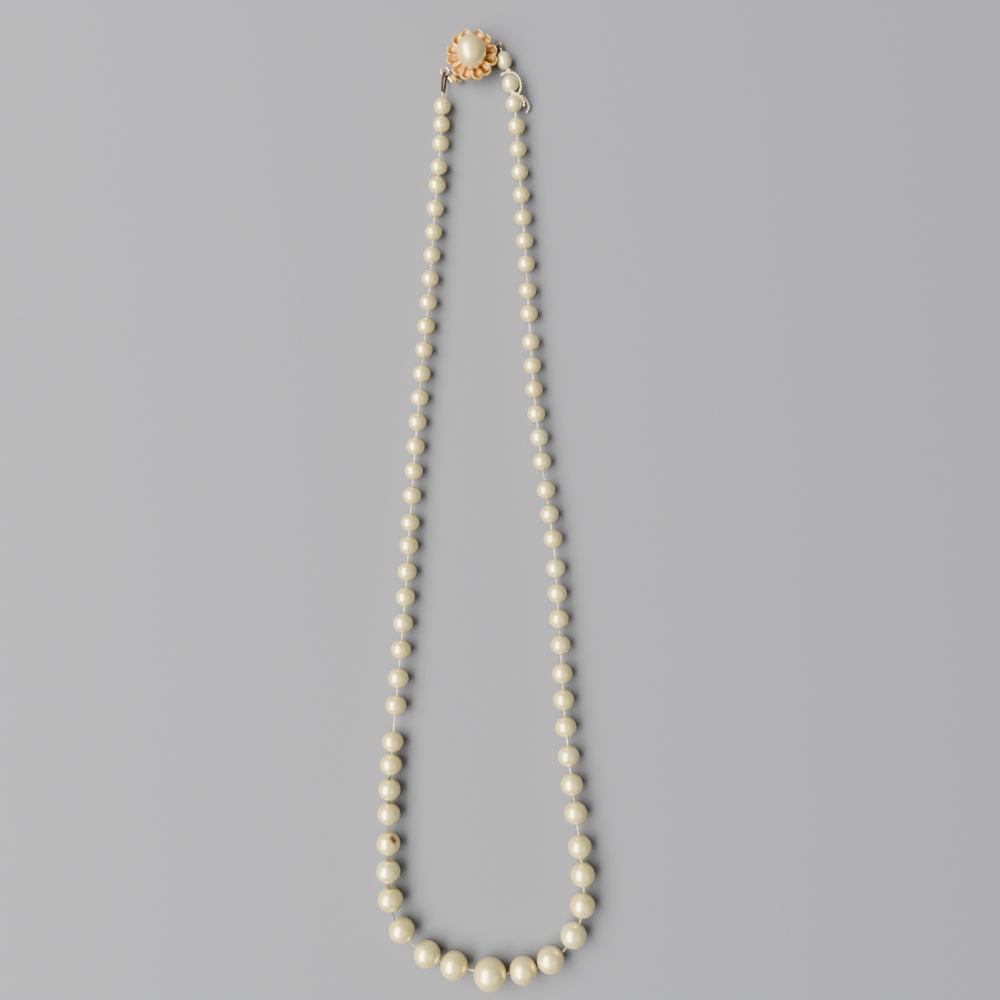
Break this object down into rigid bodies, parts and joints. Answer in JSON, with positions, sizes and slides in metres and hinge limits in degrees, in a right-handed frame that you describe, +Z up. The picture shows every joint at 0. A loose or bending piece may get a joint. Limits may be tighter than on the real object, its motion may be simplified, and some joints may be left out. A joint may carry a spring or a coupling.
{
  "type": "pearl necklace",
  "caption": "Single row of graduated cream pearls on bare silk, closed by a box clasp shaped as a rose-gold flower with a pearl set in its middle; laid flat in a long loop",
  "frame": {"origin": "centre of the necklace's box at the surface that it lies on", "axes": "+Z up from that surface, +Y from the centre pearl towards the clasp, +X to the right seen from above"},
  "size_m": [0.0487, 0.2137, 0.0088],
  "materials": {
    "pearl": "satin",
    "rose_gold": "polished",
    "tarnished_gold": "satin",
    "gimp": "satin",
    "silk": "matte"
  },
  "bodies": {
    "clasp": {"flower_rosette": "rose_gold", "clasp_box": "rose_gold", "clasp_back_plate": "rose_gold", "pearl_cup": "rose_gold", "clasp_pearl": "pearl", "box_ring": "tarnished_gold", "guard_ring": "tarnished_gold"},
    "tongue": {"tongue_base": "rose_gold", "tongue_ring": "rose_gold"},
    "spring_leaf": {"tongue_spring": "rose_gold"},
    "left_strand_1": {"silk_left_1": "silk", "gimp_left": "gimp"},
    "pearls_left_01_03_bead": {"pearls_left_01_03": "pearl"},
    "pearls_left_04_06_bead": {"pearls_left_04_06": "pearl"},
    "left_strand_2": {"silk_left_2": "silk"},
    "pearls_left_07_09_bead": {"pearls_left_07_09": "pearl"},
    "pearls_left_10_12_bead": {"pearls_left_10_12": "pearl"},
    "left_strand_3": {"silk_left_3": "silk"},
    "pearls_left_13_15_bead": {"pearls_left_13_15": "pearl"},
    "pearls_left_16_18_bead": {"pearls_left_16_18": "pearl"},
    "left_strand_4": {"silk_left_4": "silk"},
    "pearls_left_19_21_bead": {"pearls_left_19_21": "pearl"},
    "pearls_left_22_24_bead": {"pearls_left_22_24": "pearl"},
    "pearls_left_25_26_bead": {"pearls_left_25_26": "pearl"},
    "left_strand_5": {"silk_left_5": "silk"},
    "pearls_left_27_28_bead": {"pearls_left_27_28": "pearl"},
    "pearls_left_29_30_bead": {"pearls_left_29_30": "pearl"},
    "pearl_left_31_bead": {"pearl_left_31": "pearl"},
    "pearl_left_32_bead": {"pearl_left_32": "pearl"},
    "pearl_left_33_bead": {"pearl_left_33": "pearl"},
    "left_strand_6": {"silk_left_6": "silk"},
    "pearl_left_34_bead": {"pearl_left_34": "pearl"},
    "pearl_left_35_bead": {"pearl_left_35": "pearl"},
    "pearl_left_36_bead": {"pearl_left_36": "pearl"},
    "right_strand_1": {"silk_right_1": "silk", "gimp_right": "gimp", "knot_and_tail": "silk"},
    "pearl_right_01_bead": {"pearl_right_01": "pearl"},
    "pearls_right_02_03_bead": {"pearls_right_02_03": "pearl"},
    "pearls_right_04_06_bead": {"pearls_right_04_06": "pearl"},
    "pearls_right_07_09_bead": {"pearls_right_07_09": "pearl"},
    "pearls_right_10_12_bead": {"pearls_right_10_12": "pearl"},
    "right_strand_2": {"silk_right_2": "silk"},
    "pearls_right_13_15_bead": {"pearls_right_13_15": "pearl"},
    "pearls_right_16_18_bead": {"pearls_right_16_18": "pearl"},
    "right_strand_3": {"silk_right_3": "silk"},
    "pearls_right_19_21_bead": {"pearls_right_19_21": "pearl"},
    "pearls_right_22_24_bead": {"pearls_right_22_24": "pearl"},
    "right_strand_4": {"silk_right_4": "silk"},
    "pearls_right_25_27_bead": {"pearls_right_25_27": "pearl"},
    "pearls_right_28_29_bead": {"pearls_right_28_29": "pearl"},
    "pearls_right_30_31_bead": {"pearls_right_30_31": "pearl"},
    "right_strand_5": {"silk_right_5": "silk"},
    "pearls_right_32_33_bead": {"pearls_right_32_33": "pearl"},
    "pearl_right_34_bead": {"pearl_right_34": "pearl"},
    "pearl_right_35_bead": {"pearl_right_35": "pearl"},
    "right_strand_6": {"silk_right_6": "silk"},
    "pearl_right_36_bead": {"pearl_right_36": "pearl"},
    "pearl_right_37_bead": {"pearl_right_37": "pearl"},
    "pearl_centre_bead": {"pearl_centre": "pearl"}
  },
  "joints": [
    {"name": "tongue_slide", "type": "slide", "parent": "clasp", "child": "tongue", "axis": [-0.7771, -0.6293, 0], "range_m": [0, 0.008]},
    {"name": "leaf_press", "type": "hinge", "parent": "tongue", "child": "spring_leaf", "pos_m": [-0.00123, 0.1027, 0.00145], "axis": [0.6293, -0.7771, 0], "range_deg": [0, 3], "stiffness_Nm_per_rad": 0.002},
    {"name": "left_bend_1", "type": "hinge", "parent": "tongue", "child": "left_strand_1", "pos_m": [-0.00919, 0.0987, 0.0019], "axis": [0, 0, -1], "range_deg": [0, 25]},
    {"name": "left_lift_2", "type": "hinge", "parent": "left_strand_1", "child": "left_strand_2", "pos_m": [-0.01151, 0.06492, 0.00193], "axis": [-0.9977, 0.0682, 0], "range_deg": [0, 25]},
    {"name": "left_bend_3", "type": "hinge", "parent": "left_strand_2", "child": "left_strand_3", "pos_m": [-0.01409, 0.03327, 0.00199], "axis": [0, 0, -1], "range_deg": [0, 25]},
    {"name": "left_lift_4", "type": "hinge", "parent": "left_strand_3", "child": "left_strand_4", "pos_m": [-0.01669, 0.00028, 0.0021], "axis": [-0.9981, 0.0617, 0], "range_deg": [0, 25]},
    {"name": "left_bend_5", "type": "hinge", "parent": "left_strand_4", "child": "left_strand_5", "pos_m": [-0.02043, -0.04758, 0.00237], "axis": [0, 0, -1], "range_deg": [0, 25]},
    {"name": "left_bend_6", "type": "hinge", "parent": "left_strand_5", "child": "left_strand_6", "pos_m": [-0.02052, -0.09039, 0.00287], "axis": [0, 0, -1], "range_deg": [0, 30]},
    {"name": "right_bend_1", "type": "hinge", "parent": "clasp", "child": "right_strand_1", "pos_m": [0.0026, 0.10454, 0.00189], "axis": [0, 0, 1], "range_deg": [0, 25]},
    {"name": "right_lift_2", "type": "hinge", "parent": "right_strand_1", "child": "right_strand_2", "pos_m": [0.00988, 0.04084, 0.00198], "axis": [-0.9975, -0.0702, 0], "range_deg": [0, 25]},
    {"name": "right_bend_3", "type": "hinge", "parent": "right_strand_2", "child": "right_strand_3", "pos_m": [0.01305, 0.00773, 0.00207], "axis": [0, 0, 1], "range_deg": [0, 25]},
    {"name": "right_lift_4", "type": "hinge", "parent": "right_strand_3", "child": "right_strand_4", "pos_m": [0.01656, -0.02717, 0.00224], "axis": [-0.9983, -0.0581, 0], "range_deg": [0, 25]},
    {"name": "right_bend_5", "type": "hinge", "parent": "right_strand_4", "child": "right_strand_5", "pos_m": [0.0206, -0.0713, 0.00262], "axis": [0, 0, 1], "range_deg": [0, 25]},
    {"name": "right_bend_6", "type": "hinge", "parent": "right_strand_5", "child": "right_strand_6", "pos_m": [0.01762, -0.09797, 0.00297], "axis": [0, 0, 1], "range_deg": [0, 30]},
    {"name": "pearls_left_01_03_spin", "type": "hinge", "parent": "left_strand_1", "child": "pearls_left_01_03_bead", "pos_m": [-0.00992, 0.08627, 0.0019], "axis": [-0.0502, -0.9987, 0.0008], "continuous": true},
    {"name": "pearls_left_04_06_spin", "type": "hinge", "parent": "left_strand_1", "child": "pearls_left_04_06_bead", "pos_m": [-0.0109, 0.0722, 0.00192], "axis": [-0.0847, -0.9964, 0.001], "continuous": true},
    {"name": "pearls_left_07_09_spin", "type": "hinge", "parent": "left_strand_2", "child": "pearls_left_07_09_bead", "pos_m": [-0.01205, 0.05707, 0.00194], "axis": [-0.0682, -0.9977, 0.0012], "continuous": true},
    {"name": "pearls_left_10_12_spin", "type": "hinge", "parent": "left_strand_2", "child": "pearls_left_10_12_bead", "pos_m": [-0.01333, 0.04124, 0.00197], "axis": [-0.0939, -0.9956, 0.0016], "continuous": true},
    {"name": "pearls_left_13_15_spin", "type": "hinge", "parent": "left_strand_3", "child": "pearls_left_13_15_bead", "pos_m": [-0.01479, 0.02517, 0.00201], "axis": [-0.0863, -0.9963, 0.002], "continuous": true},
    {"name": "pearls_left_16_18_spin", "type": "hinge", "parent": "left_strand_3", "child": "pearls_left_16_18_bead", "pos_m": [-0.01609, 0.0088, 0.00206], "axis": [-0.0718, -0.9974, 0.0027], "continuous": true},
    {"name": "pearls_left_19_21_spin", "type": "hinge", "parent": "left_strand_4", "child": "pearls_left_19_21_bead", "pos_m": [-0.01722, -0.00825, 0.00213], "axis": [-0.0617, -0.9981, 0.0035], "continuous": true},
    {"name": "pearls_left_22_24_spin", "type": "hinge", "parent": "left_strand_4", "child": "pearls_left_22_24_bead", "pos_m": [-0.01846, -0.02528, 0.00223], "axis": [-0.0837, -0.9965, 0.0044], "continuous": true},
    {"name": "pearls_left_25_26_spin", "type": "hinge", "parent": "left_strand_4", "child": "pearls_left_25_26_bead", "pos_m": [-0.0198, -0.04056, 0.00233], "axis": [-0.0913, -0.9958, 0.0042], "continuous": true},
    {"name": "pearls_left_27_28_spin", "type": "hinge", "parent": "left_strand_5", "child": "pearls_left_27_28_bead", "pos_m": [-0.02097, -0.05427, 0.00243], "axis": [-0.0777, -0.997, 0.0055], "continuous": true},
    {"name": "pearls_left_29_30_spin", "type": "hinge", "parent": "left_strand_5", "child": "pearls_left_29_30_bead", "pos_m": [-0.02154, -0.0651, 0.00255], "axis": [-0.0282, -0.9996, 0.0063], "continuous": true},
    {"name": "pearl_left_31_spin", "type": "hinge", "parent": "left_strand_5", "child": "pearl_left_31_bead", "pos_m": [-0.0217, -0.0744, 0.00265], "axis": [-0.0015, -1, 0], "continuous": true},
    {"name": "pearl_left_32_spin", "type": "hinge", "parent": "left_strand_5", "child": "pearl_left_32_bead", "pos_m": [-0.02171, -0.08059, 0.00274], "axis": [-0.0021, -1, 0], "continuous": true},
    {"name": "pearl_left_33_spin", "type": "hinge", "parent": "left_strand_5", "child": "pearl_left_33_bead", "pos_m": [-0.02124, -0.0868, 0.00282], "axis": [0.1617, -0.9868, 0], "continuous": true},
    {"name": "pearl_left_34_spin", "type": "hinge", "parent": "left_strand_6", "child": "pearl_left_34_bead", "pos_m": [-0.0187, -0.09364, 0.00292], "axis": [0.5422, -0.8403, 0], "continuous": true},
    {"name": "pearl_left_35_spin", "type": "hinge", "parent": "left_strand_6", "child": "pearl_left_35_bead", "pos_m": [-0.01306, -0.09895, 0.00303], "axis": [0.8575, -0.5144, 0], "continuous": true},
    {"name": "pearl_left_36_spin", "type": "hinge", "parent": "left_strand_6", "child": "pearl_left_36_bead", "pos_m": [-0.00706, -0.10144, 0.00315], "axis": [0.9668, -0.2554, 0], "continuous": true},
    {"name": "pearl_right_01_spin", "type": "hinge", "parent": "right_strand_1", "child": "pearl_right_01_bead", "pos_m": [0.00408, 0.10072, 0.00189], "axis": [0.3378, -0.9412, 0], "continuous": true},
    {"name": "pearls_right_02_03_spin", "type": "hinge", "parent": "right_strand_1", "child": "pearls_right_02_03_bead", "pos_m": [0.00593, 0.09323, 0.0019], "axis": [0.1736, -0.9848, 0.0006], "continuous": true},
    {"name": "pearls_right_04_06_spin", "type": "hinge", "parent": "right_strand_1", "child": "pearls_right_04_06_bead", "pos_m": [0.00726, 0.08084, 0.00191], "axis": [0.0667, -0.9978, 0.0008], "continuous": true},
    {"name": "pearls_right_07_09_spin", "type": "hinge", "parent": "right_strand_1", "child": "pearls_right_07_09_bead", "pos_m": [0.00836, 0.06545, 0.00193], "axis": [0.0751, -0.9972, 0.0011], "continuous": true},
    {"name": "pearls_right_10_12_spin", "type": "hinge", "parent": "right_strand_1", "child": "pearls_right_10_12_bead", "pos_m": [0.0094, 0.04956, 0.00196], "axis": [0.0557, -0.9984, 0.0014], "continuous": true},
    {"name": "pearls_right_13_15_spin", "type": "hinge", "parent": "right_strand_2", "child": "pearls_right_13_15_bead", "pos_m": [0.01046, 0.03238, 0.002], "axis": [0.0702, -0.9975, 0.0019], "continuous": true},
    {"name": "pearls_right_16_18_spin", "type": "hinge", "parent": "right_strand_2", "child": "pearls_right_16_18_bead", "pos_m": [0.01198, 0.01624, 0.00204], "axis": [0.1192, -0.9929, 0.0025], "continuous": true},
    {"name": "pearls_right_19_21_spin", "type": "hinge", "parent": "right_strand_3", "child": "pearls_right_19_21_bead", "pos_m": [0.01429, -0.00096, 0.00211], "axis": [0.1372, -0.9905, 0.0032], "continuous": true},
    {"name": "pearls_right_22_24_spin", "type": "hinge", "parent": "right_strand_3", "child": "pearls_right_22_24_bead", "pos_m": [0.01602, -0.01866, 0.00219], "axis": [0.0636, -0.998, 0.0041], "continuous": true},
    {"name": "pearls_right_25_27_spin", "type": "hinge", "parent": "right_strand_4", "child": "pearls_right_25_27_bead", "pos_m": [0.0171, -0.03627, 0.00231], "axis": [0.0581, -0.9983, 0.0051], "continuous": true},
    {"name": "pearls_right_28_29_spin", "type": "hinge", "parent": "right_strand_4", "child": "pearls_right_28_29_bead", "pos_m": [0.01823, -0.05169, 0.00243], "axis": [0.0963, -0.9953, 0.0048], "continuous": true},
    {"name": "pearls_right_30_31_spin", "type": "hinge", "parent": "right_strand_4", "child": "pearls_right_30_31_bead", "pos_m": [0.0197, -0.06446, 0.00255], "axis": [0.1305, -0.9914, 0.0058], "continuous": true},
    {"name": "pearls_right_32_33_spin", "type": "hinge", "parent": "right_strand_5", "child": "pearls_right_32_33_bead", "pos_m": [0.02135, -0.07824, 0.00269], "axis": [0.1031, -0.9946, 0.0069], "continuous": true},
    {"name": "pearl_right_34_spin", "type": "hinge", "parent": "right_strand_5", "child": "pearl_right_34_bead", "pos_m": [0.02161, -0.08815, 0.00282], "axis": [-0.1228, -0.9924, 0], "continuous": true},
    {"name": "pearl_right_35_spin", "type": "hinge", "parent": "right_strand_5", "child": "pearl_right_35_bead", "pos_m": [0.0196, -0.09476, 0.00292], "axis": [-0.4735, -0.8808, 0], "continuous": true},
    {"name": "pearl_right_36_spin", "type": "hinge", "parent": "right_strand_6", "child": "pearl_right_36_bead", "pos_m": [0.01448, -0.10025, 0.00303], "axis": [-0.8412, -0.5407, 0], "continuous": true},
    {"name": "pearl_right_37_spin", "type": "hinge", "parent": "right_strand_6", "child": "pearl_right_37_bead", "pos_m": [0.00839, -0.10255, 0.00315], "axis": [-0.9861, -0.1661, 0], "continuous": true},
    {"name": "pearl_centre_spin", "type": "hinge", "parent": "right_strand_6", "child": "pearl_centre_bead", "pos_m": [0.001, -0.10319, 0.0037], "axis": [-0.9996, -0.0271, 0], "continuous": true}
  ]
}
